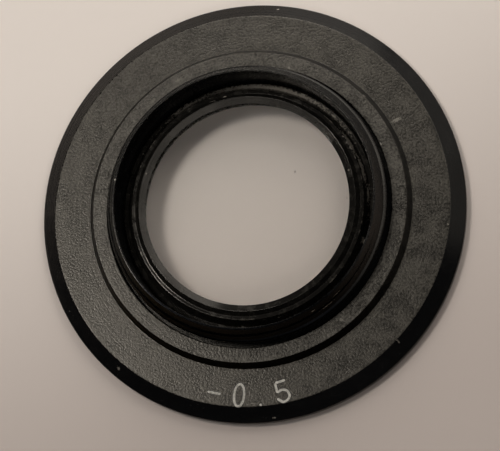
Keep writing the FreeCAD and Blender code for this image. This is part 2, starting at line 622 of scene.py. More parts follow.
@dataclass(frozen=True)
class Finish:
    """A finish, which lays its own shader."""

    name: str = "plain"

    def material(self, effects: Effects) -> bpy.types.Material:
        """Make the material.

        Args:
            effects: the shared effects.

        Returns:
            The material, with the finish's shader on its surface.
        """
        material = bpy.data.materials.new(self.name)
        material.use_nodes = True
        material.node_tree.nodes.clear()
        bench = FinishBench(material.node_tree, effects)
        bench.add("ShaderNodeOutputMaterial", {"Surface": self.shader(bench)})
        return material

    def shader(self, bench: FinishBench) -> Socket:
        """Return the shader of this kind of finish."""
        raise NotImplementedError


@dataclass(frozen=True)
class BlackMetal(Finish):
    """Blackened metal with turning marks, which rubbing, dust and flecks age alike; the rubbed colour also
    paints glints on the thread's crests.
    """

    worn_and_lit_colour: tuple = (0.24, 0.22, 0.19, 1)
    dust_and_sheen_colour: tuple = (0.36, 0.32, 0.26, 1)
    sheen_tint: tuple = (1.0, 0.90, 0.76, 1)
    index: float = 1.38
    marks_spacing: float = 0.055
    marks_run: float = 0.9
    marks_share: float = 0.25
    wear_and_glint_amount: float = 0.16
    wear_and_glint_share: float = 0.55
    dust_size: float = 0.42
    dust_amount: float = 0.03
    dust_share: float = 0.30
    dirt_and_sheen_roughness: float = 0.25
    flecks: tuple[Fleck, ...] = ()

    def aged(self, bench: FinishBench, clean: dict[str, Source], dirt_and_sheen: Source) -> Socket:
        """Rub the edges of clean metal, paint glints on the thread's crests with the same colour, and lay
        dust and flecks on it.

        Args:
            bench: bench of the finish.
            clean: inputs of a Principled shader for the clean metal.
            dirt_and_sheen: mask of the flecks, which are dirt, and on the ring's shoulder a band of painted
                sheen.

        Returns:
            The shader of the aged metal.
        """
        rubbed_and_glint = bench.times(bench.wear_and_glint(self.wear_and_glint_amount), self.wear_and_glint_share)
        dusty = bench.times(bench.dust(self.dust_size, self.dust_amount), self.dust_share)
        colour = bench.tint(rubbed_and_glint, clean["Base Color"], self.worn_and_lit_colour)
        colour = bench.tint(dusty, colour, self.dust_and_sheen_colour)
        rough = bench.math("MULTIPLY_ADD", dirt_and_sheen, self.dirt_and_sheen_roughness, clean["Roughness"], clamp=True)
        aged = {
            "Base Color": bench.tint(dirt_and_sheen, colour, self.dust_and_sheen_colour),
            "Roughness": rough,
            "IOR": self.index,
            "Specular Tint": self.sheen_tint,
        }
        return bench.principled(clean | aged)


@dataclass(frozen=True)
class BlackAnodised(BlackMetal):
    """Dull black anodised aluminium: grainy on blasted faces, smoother and blacker on turned walls."""

    name: str = "black_anodised_dull"
    flecks: tuple[Fleck, ...] = RING_FLECKS
    wall_colour: tuple = (0.0030, 0.0031, 0.0034, 1)
    face_low: tuple = (0.0030, 0.0026, 0.0020, 1)
    face_high: tuple = (0.0440, 0.0385, 0.0300, 1)
    grain_size: float = 0.11
    grain_depth: float = 0.006
    wall_relief: float = 0.10
    marks_relief: float = 0.35
    mottle_roughness: float = 0.09

    def shader(self, bench: FinishBench) -> Socket:
        """Lay the shader, which reads the mesh's edge, grain, near_side_shade, rough and rub_and_light
        attributes.

        Args:
            bench: bench of the finish.

        Returns:
            The shader. Painted near-side shade is metallic and nearly black, so it hardly mirrors.
        """
        blasted = bench.attribute("grain")
        grain = bench.effect(bench.effects.grain, Point=bench.point, Size=self.grain_size)
        marks = bench.marks(self.marks_spacing, self.marks_run)
        face = bench.tint(grain["Mottle"], self.face_low, self.face_high)
        face = bench.tint(bench.times(marks["Shade"], self.marks_share), face, self.face_high)
        colour = bench.tint(bench.span(blasted, 0.3, 0.75), self.wall_colour, face)
        # Rubbed metal on the boss's seat, and painted light on the shaded lens ledge, show through with the
        # grain.
        rubbed_and_lit = bench.times(bench.attribute("rub_and_light"), grain["Mottle"])
        mottle = bench.math("SUBTRACT", grain["Mottle"], 0.5)
        rough = bench.attribute("rough")
        dirt_and_sheen = bench.dirt_and_sheen(self.flecks)
        height = bench.times(grain["Height"], bench.span(blasted, 0.0, 1.0, self.wall_relief, 1.0))
        height = bench.math("MULTIPLY_ADD", marks["Height"], self.marks_relief, height)
        clean = {
            "Base Color": bench.tint(rubbed_and_lit, colour, self.worn_and_lit_colour),
            "Metallic": bench.math("SUBTRACT", bench.attribute("near_side_shade"), dirt_and_sheen, clamp=True),
            "Roughness": bench.math("MULTIPLY_ADD", mottle, self.mottle_roughness, rough),
            "Normal": bench.relief(height, self.grain_depth),
        }
        return self.aged(bench, clean, dirt_and_sheen)


@dataclass(frozen=True)
class SatinBlack(BlackMetal):
    """Satin black of the retaining ring: smooth, with close turning marks, dust in its slots and a pale band
    of painted sheen on its shoulder.
    """

    name: str = "satin_black_ring"
    worn_and_lit_colour: tuple = (0.22, 0.19, 0.15, 1)
    # Pale enough to paint the shoulder's sheen as well as dust.
    dust_and_sheen_colour: tuple = (0.55, 0.48, 0.39, 1)
    sheen_tint: tuple = (1.0, 0.90, 0.78, 1)
    index: float = 1.36
    marks_spacing: float = 0.045
    marks_run: float = 1.4
    marks_share: float = 0.5
    wear_and_glint_amount: float = 0.30
    wear_and_glint_share: float = 0.5
    dust_size: float = 0.30
    dust_amount: float = 0.07
    dust_share: float = 0.25
    dirt_and_sheen_roughness: float = 0.4
    flecks: tuple[Fleck, ...] = SLOT_FLECKS
    deep_colour: tuple = (0.0060, 0.0053, 0.0044, 1)
    lit_colour: tuple = (0.017, 0.015, 0.012, 1)
    roughness: float = 0.16
    film_roughness: float = 0.10
    film_scale: float = 2.2
    marks_depth: float = 0.002

    def shader(self, bench: FinishBench) -> Socket:
        """Lay the shader, which reads the mesh's edge attribute.

        Args:
            bench: bench of the finish.

        Returns:
            The shader, with a thin film that clouds the black in places.
        """
        marks = bench.marks(self.marks_spacing, self.marks_run)
        film = bench.span(bench.noise(bench.point, self.film_scale, detail=4.0, roughness=0.65), 0.45, 0.75)
        colour = bench.tint(film, self.deep_colour, self.lit_colour)
        clean = {
            "Base Color": bench.tint(bench.times(marks["Shade"], self.marks_share), colour, self.lit_colour),
            "Roughness": bench.math("MULTIPLY_ADD", film, self.film_roughness, self.roughness),
            "Normal": bench.relief(marks["Height"], self.marks_depth),
        }
        return self.aged(bench, clean, bench.dirt_and_sheen(self.flecks))


@dataclass(frozen=True)
class ClearGlass(Finish):
    """Polished lens glass. Lamps shine through it, so that what lies under it is lit."""

    name: str = "clear_lens_glass"
    colour: tuple = (0.985, 0.99, 0.985, 1)
    index: float = 1.523
    coat_tint: tuple = (0.12, 0.08, 0.16, 1)
    lamp_shade: tuple = (0.93, 0.93, 0.93, 1)
    speck_colour: tuple = (0.30, 0.28, 0.25, 1)
    haze_size: float = 0.5
    haze_amount: float = 0.05
    haze_roughness: float = 0.25
    flecks: tuple[Fleck, ...] = GLASS_FLECKS

    def shader(self, bench: FinishBench) -> Socket:
        """Lay the shader.

        Args:
            bench: bench of the finish.

        Returns:
            Glass with a faint haze and a few specks for the eye, and a clear grey pane for the lamps.
        """
        haze = bench.dust(self.haze_size, self.haze_amount)
        inputs = {
            "Base Color": bench.tint(bench.dirt_and_sheen(self.flecks), self.colour, self.speck_colour),
            "Roughness": bench.times(haze, self.haze_roughness),
            "IOR": self.index,
            "Specular Tint": self.coat_tint,
            "Transmission Weight": 1.0,
        }
        glass = bench.principled(inputs)
        pane = bench.add("ShaderNodeBsdfTransparent", {"Color": self.lamp_shade}).outputs[0]
        path = bench.add("ShaderNodeLightPath").outputs
        lamp_ray = bench.math("MAXIMUM", path["Is Shadow Ray"], path["Is Diffuse Ray"])
        return bench.add("ShaderNodeMixShader", {0: lamp_ray, 1: glass, 2: pane}).outputs[0]


@dataclass(frozen=True)
class FigurePaint(Finish):
    """Dull off-white paint in the engraved figures, thin in places, between dark lips that are partly the
    black metal round the groove and partly its painted shade.
    """

    name: str = "figure_paint_white"
    paint_low: tuple = (0.20, 0.18, 0.14, 1)
    paint_high: tuple = (0.56, 0.51, 0.43, 1)
    lip_metal_and_shade_colour: tuple = (0.030, 0.027, 0.023, 1)
    roughness: float = 0.65
    index: float = 1.45
    patch_scale: float = 4.5
    fine_scale: float = 16.0
    fine_share: float = 0.35
    ragged_share: float = 0.9
    depth: float = 0.006

    def shader(self, bench: FinishBench) -> Socket:
        """Lay the shader, which reads the mesh's paint attribute.

        Args:
            bench: bench of the finish.

        Returns:
            The shader, with a ragged border between the paint and the lips.
        """
        patchy = bench.noise(bench.point, self.patch_scale, detail=4.0, roughness=0.7)
        fine = bench.noise(bench.point, self.fine_scale, detail=2.0)
        thick = bench.span(bench.math("MULTIPLY_ADD", fine, self.fine_share, patchy), 0.42, 0.85)
        paint = bench.tint(thick, self.paint_low, self.paint_high)
        ragged = bench.math("SUBTRACT", fine, 0.5)
        covered = bench.math("MULTIPLY_ADD", ragged, self.ragged_share, bench.attribute("paint"))
        inputs = {
            # The dark lips paint the engraving's shade round the paint.
            "Base Color": bench.tint(bench.span(covered, 0.30, 0.62), self.lip_metal_and_shade_colour, paint),
            "Roughness": self.roughness,
            "Normal": bench.relief(fine, self.depth),
            "IOR": self.index,
        }
        return bench.principled(inputs)


@dataclass(frozen=True)
class PaleFloor(Finish):
    """Pale surface that the part lies on, with painted light: lighter towards the far side and darker towards
    the near side, and a faint mottle.
    """

    name: str = "pale_floor"
    lit_far_colour: tuple = (0.768, 0.666, 0.578, 1)
    shaded_near_colour: tuple = (0.468, 0.381, 0.324, 1)
    fade: float = 13.0
    lean: float = 0.30
    cloud_scale: float = 0.06
    cloud_share: float = 0.10
    roughness: float = 0.7

    def shader(self, bench: FinishBench) -> Socket:
        """Lay the shader.

        Args:
            bench: bench of the finish.

        Returns:
            The shader.
        """
        x, y, _ = bench.parts(bench.point)
        # Painted light falloff: the floor runs from the shaded near colour to the lit far colour.
        away = bench.math("MULTIPLY_ADD", x, -self.lean, y)
        painted_light = bench.span(away, -self.fade, self.fade)
        cloud = bench.math("SUBTRACT", bench.noise(bench.point, self.cloud_scale, detail=3.0), 0.5)
        painted_light = bench.math("MULTIPLY_ADD", cloud, self.cloud_share, painted_light, clamp=True)
        colour = bench.tint(painted_light, self.shaded_near_colour, self.lit_far_colour)
        return bench.principled({"Base Color": colour, "Roughness": self.roughness})


@dataclass
class MountRing:
    """The turned body: bevelled flange, raised boss, threaded collar, bore and the lens ledge."""

    flange_radius: float = 10.75
    face_radius: float = 10.0
    boss_foot_radius: float = 8.15
    boss_top_radius: float = 7.95
    boss_edge_break: float = 0.05
    relief_radius: float = 7.18
    crest_radius: float = 7.0
    root_radius: float = 6.70
    collar_rim_radius: float = 6.55
    bore_radius: float = 6.45
    recess_radius: float = 5.80
    opening_radius: float = 5.35
    countersink_radius: float = 6.15
    rim_edge_break: float = 0.08
    rim_land_z: float = 0.45
    face_z: float = 1.0
    boss_z: float = 1.45
    relief_floor_z: float = 1.15
    thread_start_z: float = 1.60
    thread_end_z: float = 2.15
    collar_top_z: float = 3.0
    bore_floor_z: float = 0.65
    ledge_z: float = 0.45
    countersink_z: float = 0.30
    pitch: float = 0.50
    seat_rub: float = 0.10
    # Painted light: the ledge and the opening's wall take the lighter rubbed colour, which lightens them in
    # their shade.
    ledge_painted_light: float = 0.90
    crest_share: float = 0.07
    root_share: float = 0.45
    band_inside: float = 0.16
    band_outside: float = 0.02
    least_depth: float = 0.05
    # Height share of a crest from which the painted crest glint starts.
    crest_glint_start: float = 0.86
    # Turn where the painted near-side shade is fullest, and how it fades from there.
    near_shade_turn: float = 268.0
    near_shade_start: float = 0.25
    near_shade_gain: float = 2.0
    columns: int = 320

    def section(self) -> list[Corner]:
        """Return the sharp corners, up the outside from the rim's foot and down the bore."""
        rise = self.collar_top_z - self.thread_end_z
        fall = self.crest_radius - self.collar_rim_radius
        cone_foot_z = self.thread_end_z + rise * (self.crest_radius - self.root_radius) / fall
        boss_edge = self.boss_edge_break
        outside = [
            Corner(self.flange_radius - self.rim_edge_break, 0.0),
            Corner(self.flange_radius, self.rim_edge_break),
            Corner(self.flange_radius, self.rim_land_z, 0.05, Surface.TURNED),
            Corner(self.face_radius, self.face_z, 0.03, Surface.BLASTED, 0.5),
            Corner(self.boss_foot_radius, self.face_z, 0.02, Surface.STEP),
            Corner(self.boss_top_radius, self.boss_z - boss_edge, 0.02, Surface.STEP),
            Corner(self.boss_top_radius - boss_edge, self.boss_z, 0.02, Surface.BLASTED, 0.4, self.seat_rub),
            Corner(self.relief_radius, self.boss_z, 0.03),
            Corner(self.relief_radius, self.relief_floor_z),
            Corner(self.root_radius, self.relief_floor_z, 0.03, Surface.THREADED, 0.017),
            Corner(self.root_radius, cone_foot_z, 0.02, Surface.THREADED, 0.04),
        ]
        inside = [
            Corner(self.collar_rim_radius, self.collar_top_z, 0.015, Surface.THREADED, worn=0.4),
            Corner(self.bore_radius, self.collar_top_z, 0.015, Surface.BORE, 0.4, worn=0.6),
            Corner(self.bore_radius, self.bore_floor_z, 0.03, Surface.BORE),
            Corner(self.recess_radius, self.bore_floor_z, 0.02, Surface.BORE),
            # The ledge and the opening's wall lie in shade; their rubbed colour is painted light.
            Corner(self.recess_radius, self.ledge_z, 0.02, Surface.BORE, rub_and_light=self.ledge_painted_light),
            Corner(self.opening_radius, self.ledge_z, 0.02, Surface.BORE, rub_and_light=self.ledge_painted_light),
            Corner(self.opening_radius, self.countersink_z, 0.02, Surface.BORE),
            Corner(self.countersink_radius, 0.0, 0.03, Surface.BLASTED),
        ]
        return outside + inside

    def thread_limit(self, height: np.ndarray) -> np.ndarray:
        """Radius that the thread's crests reach: they run out, stay full and then meet the cone.

        Args:
            height: heights of the rows.

        Returns:
            The radius at each row.
        """
        heights = [self.boss_z, self.thread_start_z, self.thread_end_z, self.collar_top_z]
        reaches = [self.root_radius, self.crest_radius, self.crest_radius, self.collar_rim_radius]
        return np.interp(height, heights, reaches)

    def thread_radius(self, height: np.ndarray, turn: np.ndarray) -> np.ndarray:
        """Radius of the right-hand thread at each height and turn.

        The phase is height / pitch less turn / 2 pi. The distance from the nearest crest, in pitches,
        gives a share of 1 up to crest_share and 0 from root_share on, smoothed at both ends. The
        radius is the root's plus that share of the depth, held under the run-out and the cone.

        Args:
            height: heights of the rows.
            turn: angles of the columns in radians.

        Returns:
            The radius at each row and column.
        """
        phase = height[:, None] / self.pitch - turn[None, :] / FULL_TURN
        from_crest = np.abs((phase + 0.5) % 1.0 - 0.5)
        flank = self.root_share - self.crest_share
        share = np.clip((self.root_share - from_crest) / flank, 0, 1)
        share = share**2 * (3 - 2 * share)
        reach = self.root_radius + (self.crest_radius - self.root_radius) * share
        return np.minimum(reach, self.thread_limit(height)[:, None])

    def build(self, material: bpy.types.Material) -> None:
        """Turn the section round the axis, with the thread cut into the collar.

        A point is (r cos t, r sin t, z), with r the section's radius, or the thread's where that is
        larger, on the rows of the collar's outside. Those lie above the boss, in a band round the
        root radius.

        Args:
            material: the finish.
        """
        rows = rounded_rows(self.section())
        turn = np.arange(self.columns) * FULL_TURN / self.columns
        within = rows.radius < self.root_radius + self.band_outside
        threaded = within & (rows.radius > self.root_radius - self.band_inside) & (rows.height > self.boss_z)
        radius = np.repeat(rows.radius[:, None], self.columns, axis=1)
        cut = self.thread_radius(rows.height[threaded], turn)
        radius[threaded] = np.maximum(radius[threaded], cut)
        points = turned_points(radius, turn, rows.height[:, None])
        edge = np.repeat(rows.edge[:, None], self.columns, axis=1)
        limit = self.thread_limit(rows.height[threaded])[:, None]
        crest = (cut - self.root_radius) / np.maximum(limit - self.root_radius, self.least_depth)
        # Painted glint: the thread's crests join the edge mask, so the rubbed colour lays pale dashes along
        # them, partly rubbed crests and partly painted glints.
        crest_glint = np.clip((crest - self.crest_glint_start) / (1 - self.crest_glint_start), 0, 1)
        edge[threaded] = np.maximum(edge[threaded], crest_glint)
        faces = ring_faces(len(rows.radius), self.columns).tolist()
        # Painted shade: round near_shade_turn, on the near side, the step wall and the collar's outside turn
        # metallic black, which mirrors almost nothing.
        from_near_shade_turn = np.cos(turn - math.radians(self.near_shade_turn))
        near_side_shade = rows.near_side_shade[:, None] * np.clip(self.near_shade_gain * (from_near_shade_turn - self.near_shade_start), 0, 1)
        attributes = {"edge": edge.reshape(-1), "near_side_shade": near_side_shade.reshape(-1)}
        for key in ("grain", "rough", "rub_and_light"):
            attributes[key] = np.repeat(getattr(rows, key), self.columns)
        piece = put_mesh("mount_ring_turned", points, faces, attributes, material)
        add_piece(piece, "black_anodised", "mount_ring")


@dataclass
class RetainingRing:
    """The stepped ring that holds the lens down, with its skirt round the lens and two slots."""

    skirt_radius: float = 6.40
    edge_chamfer: float = 0.10
    shoulder_inner_radius: float = 6.10
    land_outer_radius: float = 5.84
    land_inner_radius: float = 5.66
    crest_radius: float = 5.45
    aperture_radius: float = 5.12
    undercut_radius: float = 5.35
    recess_radius: float = 5.80
    skirt_bottom_z: float = 0.73
    underside_z: float = 1.222
    shoulder_z: float = 1.242
    land_z: float = 1.722
    crest_z: float = 1.942
    lip_z: float = 1.792
    slot_floor_z: float = 0.942
    slot_inner_radius: float = 5.90
    slot_half_width: float = 0.50
    slot_angle: float = -13.0
    slot_clearance: float = 10.0
    plain_columns: int = 240

    def cone_height(self, radius: float) -> float:
        """Return the height of the cone between the shoulder and the land at a radius."""
        share = (self.shoulder_inner_radius - radius) / (self.shoulder_inner_radius - self.land_outer_radius)
        return self.shoulder_z + share * (self.land_z - self.shoulder_z)

    def section(self, in_slot: bool) -> list[Corner]:
        """Return the sharp corners, up the outside and down the aperture.

        Args:
            in_slot: True for the section through a slot, which has as many corners.

        Returns:
            The corners in order.
        """
        top = self.cone_height(self.slot_inner_radius)
        chamfer_radius = self.skirt_radius - self.edge_chamfer
        skirt = [
            Corner(self.undercut_radius, self.underside_z, 0.015),
            Corner(self.recess_radius, self.underside_z, 0.015),
            Corner(self.recess_radius, self.skirt_bottom_z, 0.02),
            Corner(self.skirt_radius, self.skirt_bottom_z, 0.02),
        ]
        plain = [
            Corner(self.skirt_radius, self.shoulder_z - self.edge_chamfer, 0.02),
            Corner(chamfer_radius, self.shoulder_z, 0.02, worn=0.3),
            Corner(self.shoulder_inner_radius, self.shoulder_z, 0.02),
            Corner(self.slot_inner_radius, top, 0.02),
        ]
        slotted = [
            Corner(self.skirt_radius, self.slot_floor_z, 0.02),
            Corner(chamfer_radius, self.slot_floor_z, 0.02),
            Corner(self.slot_inner_radius, self.slot_floor_z, 0.03),
            Corner(self.slot_inner_radius, top, 0.02),
        ]
        steps = [
            Corner(self.land_outer_radius, self.land_z, 0.03),
            Corner(self.land_inner_radius, self.land_z, 0.03),
            Corner(self.crest_radius, self.crest_z, 0.012, worn=0.0),
            Corner(self.aperture_radius, self.lip_z, 0.012, worn=0.3),
        ]
        return skirt + (slotted if in_slot else plain) + steps

    def columns(self) -> tuple[np.ndarray, np.ndarray, np.ndarray]:
        """Columns round the ring, drawn together at the slots.

        Returns:
            For each column its plain angle in radians, its offset from the slot's middle (0 away
            from the slots), and the share of the slot's section that it takes.
        """
        half = self.slot_half_width
        side = half + np.array([0.10, 0.03, 0.006, -0.009, -0.06, -0.25])
        offset = np.concatenate([-side, [0.0], side[::-1]])
        taken = np.array([0, 0, 0.05, 1, 1, 1], dtype=float)
        taken = np.concatenate([taken, [1.0], taken[::-1]])
        middle = math.radians(self.slot_angle)
        spare = math.radians(self.slot_clearance)
        count = self.plain_columns // 2
        between = np.linspace(spare, math.pi - spare, count)
        near = np.arcsin(offset / self.skirt_radius)
        half_turn = np.concatenate([near, between])
        angle = np.concatenate([half_turn, half_turn + math.pi]) + middle
        lean = np.concatenate([offset, np.zeros(count)])
        share = np.concatenate([taken, np.zeros(count)])
        return angle, np.tile(lean, 2), np.tile(share, 2)

    def build(self, material: bpy.types.Material) -> None:
        """Turn the two sections round the axis, changing over at the slots' side walls.

        A column at an offset w from a slot's middle stays parallel to it: its angle at radius r is
        its plain angle + asin(w / r) - asin(w / skirt radius). A point is (r cos t, r sin t, z).

        Args:
            material: the finish.
        """
        plain = rounded_rows(self.section(in_slot=False))
        slotted = rounded_rows(self.section(in_slot=True))
        angle, offset, share = self.columns()
        radius = plain.radius[:, None] * (1 - share) + slotted.radius[:, None] * share
        height = plain.height[:, None] * (1 - share) + slotted.height[:, None] * share
        edge = plain.edge[:, None] * (1 - share) + slotted.edge[:, None] * share
        turn = angle + np.arcsin(offset / radius) - np.arcsin(offset / self.skirt_radius)
        points = turned_points(radius, turn, height)
        faces = ring_faces(len(plain.radius), len(angle)).tolist()
        piece = put_mesh("retaining_ring_stepped", points, faces, {"edge": edge.reshape(-1)}, material)
        add_piece(piece, "satin_black", "retaining_ring")


@dataclass
class Lens:
    """The weak meniscus: hollow towards the eye, bulging towards the eyepiece."""

    radius: float = 5.75
    bevel: float = 0.08
    front_radius: float = 80.0
    back_radius: float = 74.32
    ledge_z: float = 0.45
    edge_thickness: float = 0.75
    rings: int = 22
    columns: int = 160

    def surface(self, ball_radius: float, rim_z: float, distance: np.ndarray) -> np.ndarray:
        """Return the height of a ball's cap that meets the bevel at rim_z, at distances from the axis."""
        edge = self.radius - self.bevel
        return rim_z + np.sqrt(ball_radius**2 - distance**2) - math.sqrt(ball_radius**2 - edge**2)

    def build(self, material: bpy.types.Material) -> None:
        """Turn the lens's section, from the middle of the back out to the edge and in over the front.

        Each surface is z = rim + sqrt(R^2 - r^2) - sqrt(R^2 - edge^2), and a point is
        (r cos t, r sin t, z). Both middles are single vertices with a fan of triangles.

        Args:
            material: the finish.
        """
        out = np.linspace(0, self.radius - self.bevel, self.rings + 1)[1:]
        top_z = self.ledge_z + self.edge_thickness
        back = self.surface(self.back_radius, self.ledge_z, out)
        front = self.surface(self.front_radius, top_z, out)[::-1]
        rim = np.array([self.ledge_z + self.bevel, top_z - self.bevel])
        radius = np.concatenate([out, [self.radius] * 2, out[::-1]])
        height = np.concatenate([back, rim, front])
        turn = np.arange(self.columns) * FULL_TURN / self.columns
        grid = turned_points(radius[:, None], turn, height[:, None])
        middle = np.zeros(1)
        poles = [
            [0, 0, self.surface(self.back_radius, self.ledge_z, middle)[0]],
            [0, 0, self.surface(self.front_radius, top_z, middle)[0]],
        ]
        points = np.concatenate([grid, poles])
        quads = ring_faces(len(radius), self.columns)[: -self.columns].tolist()
        first = np.arange(self.columns)
        second = (first + 1) % self.columns
        last = len(grid) - self.columns
        back_fan = np.stack([np.full(self.columns, len(grid)), second, first], axis=-1)
        front_fan = np.stack([np.full(self.columns, len(grid) + 1), last + first, last + second], axis=-1)
        faces = quads + back_fan.tolist() + front_fan.tolist()
        piece = put_mesh("lens_polished", points, faces, {}, material)
        add_piece(piece, "lens_glass", "lens")


@dataclass(frozen=True)
class Stroke:
    """One stroke of a figure, as points across and up from the figure's middle, in millimetres."""

    across: tuple[float, ...]
    up: tuple[float, ...]
    closed: bool = False


@dataclass(frozen=True)
class Figure:
    """A figure on the flange: its turn round the axis, the radius of its middle, and its strokes."""

    turn: float
    radius: float
    strokes: tuple[Stroke, ...]


def smooth_path(points: np.ndarray, closed: bool, steps: int) -> np.ndarray:
    """Carry a smooth line through points.

    Between two points P1 and P2 with neighbours P0 and P3 it is the cubic
    ((-P0+3P1-3P2+P3) t^3 + (2P0-5P1+4P2-P3) t^2 + (P2-P0) t + 2P1) / 2, for t from 0 to 1.

    Args:
        points: the points, one line each.
        closed: True if the last point runs on to the first.
        steps: steps between two points.

    Returns:
        Points of the line.
    """
    if closed:
        padded = np.concatenate([points[-1:], points, points[:2]])
    else:
        padded = np.concatenate([2 * points[:1] - points[1:2], points, 2 * points[-1:] - points[-2:-1]])
    p0, p1, p2, p3 = (padded[k : len(padded) - 3 + k, None] for k in range(4))
    t = (np.arange(steps) / steps)[None, :, None]
    cubic = (-p0 + 3 * p1 - 3 * p2 + p3) * t**3 + (2 * p0 - 5 * p1 + 4 * p2 - p3) * t**2
    line = ((cubic + (p2 - p0) * t + 2 * p1) / 2).reshape(-1, points.shape[1])
    return line if closed else np.concatenate([line, points[-1:]])


@dataclass
class EngravedFigures:
    """The dioptre figures: shallow engraved strokes with paint in them, on the flange's face."""

    face_z: float = 1.0
    face_radius: float = 10.0
    bevel_slope: float = 0.733
    half_width: float = 0.061
    lip_width: float = 0.030
    lip_height: float = 0.007
    crown: float = 0.010
    sunk: float = 0.020
    end_reach: float = 0.9
    end_start: float = 0.02
    steps: int = 14
    figures: tuple[Figure, ...] = ()

    def profile(self) -> tuple[np.ndarray, np.ndarray, np.ndarray]:
        """Section across a stroke: a low lip on both sides, the paint's crown, and the underside.

        Returns:
            For each point its offset across, its height above the face, and 1 where it is paint.
        """
        paint = self.half_width
        lip = paint + self.lip_width
        side = np.array([lip, paint + 0.6 * self.lip_width, paint, 0.82 * paint, 0.45 * paint, 0.0])
        lip_level = [-self.sunk, self.lip_height, 0.5 * self.lip_height]
        level = np.array(lip_level + [0.6 * self.crown, 0.93 * self.crown, self.crown])
        across = np.concatenate([side, -side[-2::-1]])
        height = np.concatenate([level, level[-2::-1]])
        painted = np.array([0, 0, 0.15, 1, 1, 1, 1, 1, 0.15, 0, 0], dtype=float)
        return across, height, painted

    def stroke_arrays(self, figure: Figure, stroke: Stroke) -> tuple[np.ndarray, np.ndarray, np.ndarray]:
        """Carry the profile along a stroke.

        With the line's unit normal n and the up direction k, a point is line + e w n + h k, where w
        and h are the profile's offset and height. The factor e is sqrt(1 - (1 - q)^2) with q the
        distance to the stroke's end over its half width, which rounds the ends as the cutter did.

        Args:
            figure: the figure, which gives the place.
            stroke: the stroke.

        Returns:
            Points, quads and the paint value of each point.
        """
        raw = np.column_stack([stroke.across, stroke.up])
        line = smooth_path(raw, stroke.closed, self.steps)
        if stroke.closed:
            ahead = np.roll(line, -1, axis=0) - np.roll(line, 1, axis=0)
            ease = np.ones(len(line))
        else:
            ahead = np.gradient(line, axis=0)
            step = np.linalg.norm(np.diff(line, axis=0), axis=1)
            along = np.concatenate([[0], np.cumsum(step)])
            end = (self.half_width + self.lip_width) * self.end_reach
            near = np.minimum(along, along[-1] - along) / end
            ease = np.sqrt(1 - (1 - np.clip(near, self.end_start, 1)) ** 2)
        ahead /= np.linalg.norm(ahead, axis=1)[:, None]
        normal = np.column_stack([-ahead[:, 1], ahead[:, 0]])
        across, height, painted = self.profile()
        flat = line[:, None] + (ease[:, None] * -across[None, :])[..., None] * normal[:, None]
        turn = math.radians(figure.turn)
        out = np.array([math.cos(turn), math.sin(turn)])
        tangent = np.array([-out[1], out[0]])
        middle = figure.radius * out
        plan = middle + flat[..., :1] * tangent - flat[..., 1:] * out
        beyond = np.maximum(np.linalg.norm(plan, axis=-1) - self.face_radius, 0)
        surface = self.face_z - self.bevel_slope * beyond
        level = surface + np.where(height > 0, height * ease[:, None], height)
        points = np.concatenate([plan, level[..., None]], axis=-1)
        rows, columns = level.shape
        quads = ring_faces(rows, columns)
        if not stroke.closed:
            quads = quads[:-columns]
        return points.reshape(-1, 3), quads, np.repeat(painted[None, :], rows, axis=0).reshape(-1)

    def build(self, material: bpy.types.Material) -> None:
        """Join every stroke into one piece.

        Args:
            material: the finish.
        """
        points, faces, paint = [], [], []
        count = 0
        columns = len(self.profile()[0])
        for figure in self.figures:
            for stroke in figure.strokes:
                part, quads, painted = self.stroke_arrays(figure, stroke)
                faces += (quads + count).tolist()
                if not stroke.closed:
                    start = count + np.arange(columns)
                    faces += [start[::-1].tolist(), (start + len(part) - columns).tolist()]
                points.append(part)
                paint.append(painted)
                count += len(part)
        attributes = {"paint": np.concatenate(paint)}
        piece = put_mesh("engraved_figures", np.concatenate(points), faces, attributes, material)
        add_piece(piece, "figure_paint")


def oval_stroke(
    half_width: float, half_height: float, lean: float, power: float = 2.1, points: int = 20
) -> Stroke:
    """A closed oval stroke: |x / a|^p + |y / b|^p = 1, with a and b its half width and half height.

    Args:
        half_width: a, to the middle of the stroke.
        half_height: b, to the middle of the stroke.
        lean: how far the top leans across, as a share of its height.
        power: p, above 2 for straighter sides.
        points: points round the oval.

    Returns:
        The stroke.
    """
    turn = np.arange(points) * FULL_TURN / points
    across = half_width * np.sign(np.cos(turn)) * np.abs(np.cos(turn)) ** (2 / power)
    up = half_height * np.sign(np.sin(turn)) * np.abs(np.sin(turn)) ** (2 / power)
    return Stroke(tuple(across + lean * up), tuple(up), closed=True)


def minus_half_dioptre() -> tuple[Figure, ...]:
    """Return the figures of minus a half, spaced along the flange towards its rim."""
    minus = Stroke((-0.34, 0.0, 0.34), (0.01, 0.0, -0.01))
    point = Stroke((-0.07, 0.0, 0.05), (0.05, 0.0, -0.02))
    five_top = Stroke((0.26, 0.0, -0.25), (0.49, 0.46, 0.44))
    five_stem = Stroke((-0.25, -0.24, -0.23), (0.44, 0.20, -0.06))
    bowl_across = (-0.23, -0.06, 0.10, 0.27, 0.35, 0.33, 0.24, 0.12, -0.02, -0.14, -0.28)
    bowl_up = (-0.06, 0.03, 0.04, -0.06, -0.24, -0.36, -0.47, -0.53, -0.55, -0.46, -0.33)
    return (
        Figure(259.3, 9.44, (minus,)),
        Figure(266.95, 9.44, (oval_stroke(0.245, 0.54, 0.04),)),
        Figure(273.4, 9.95, (point,)),
        Figure(279.8, 9.40, (five_top, five_stem, Stroke(bowl_across, bowl_up))),
    )


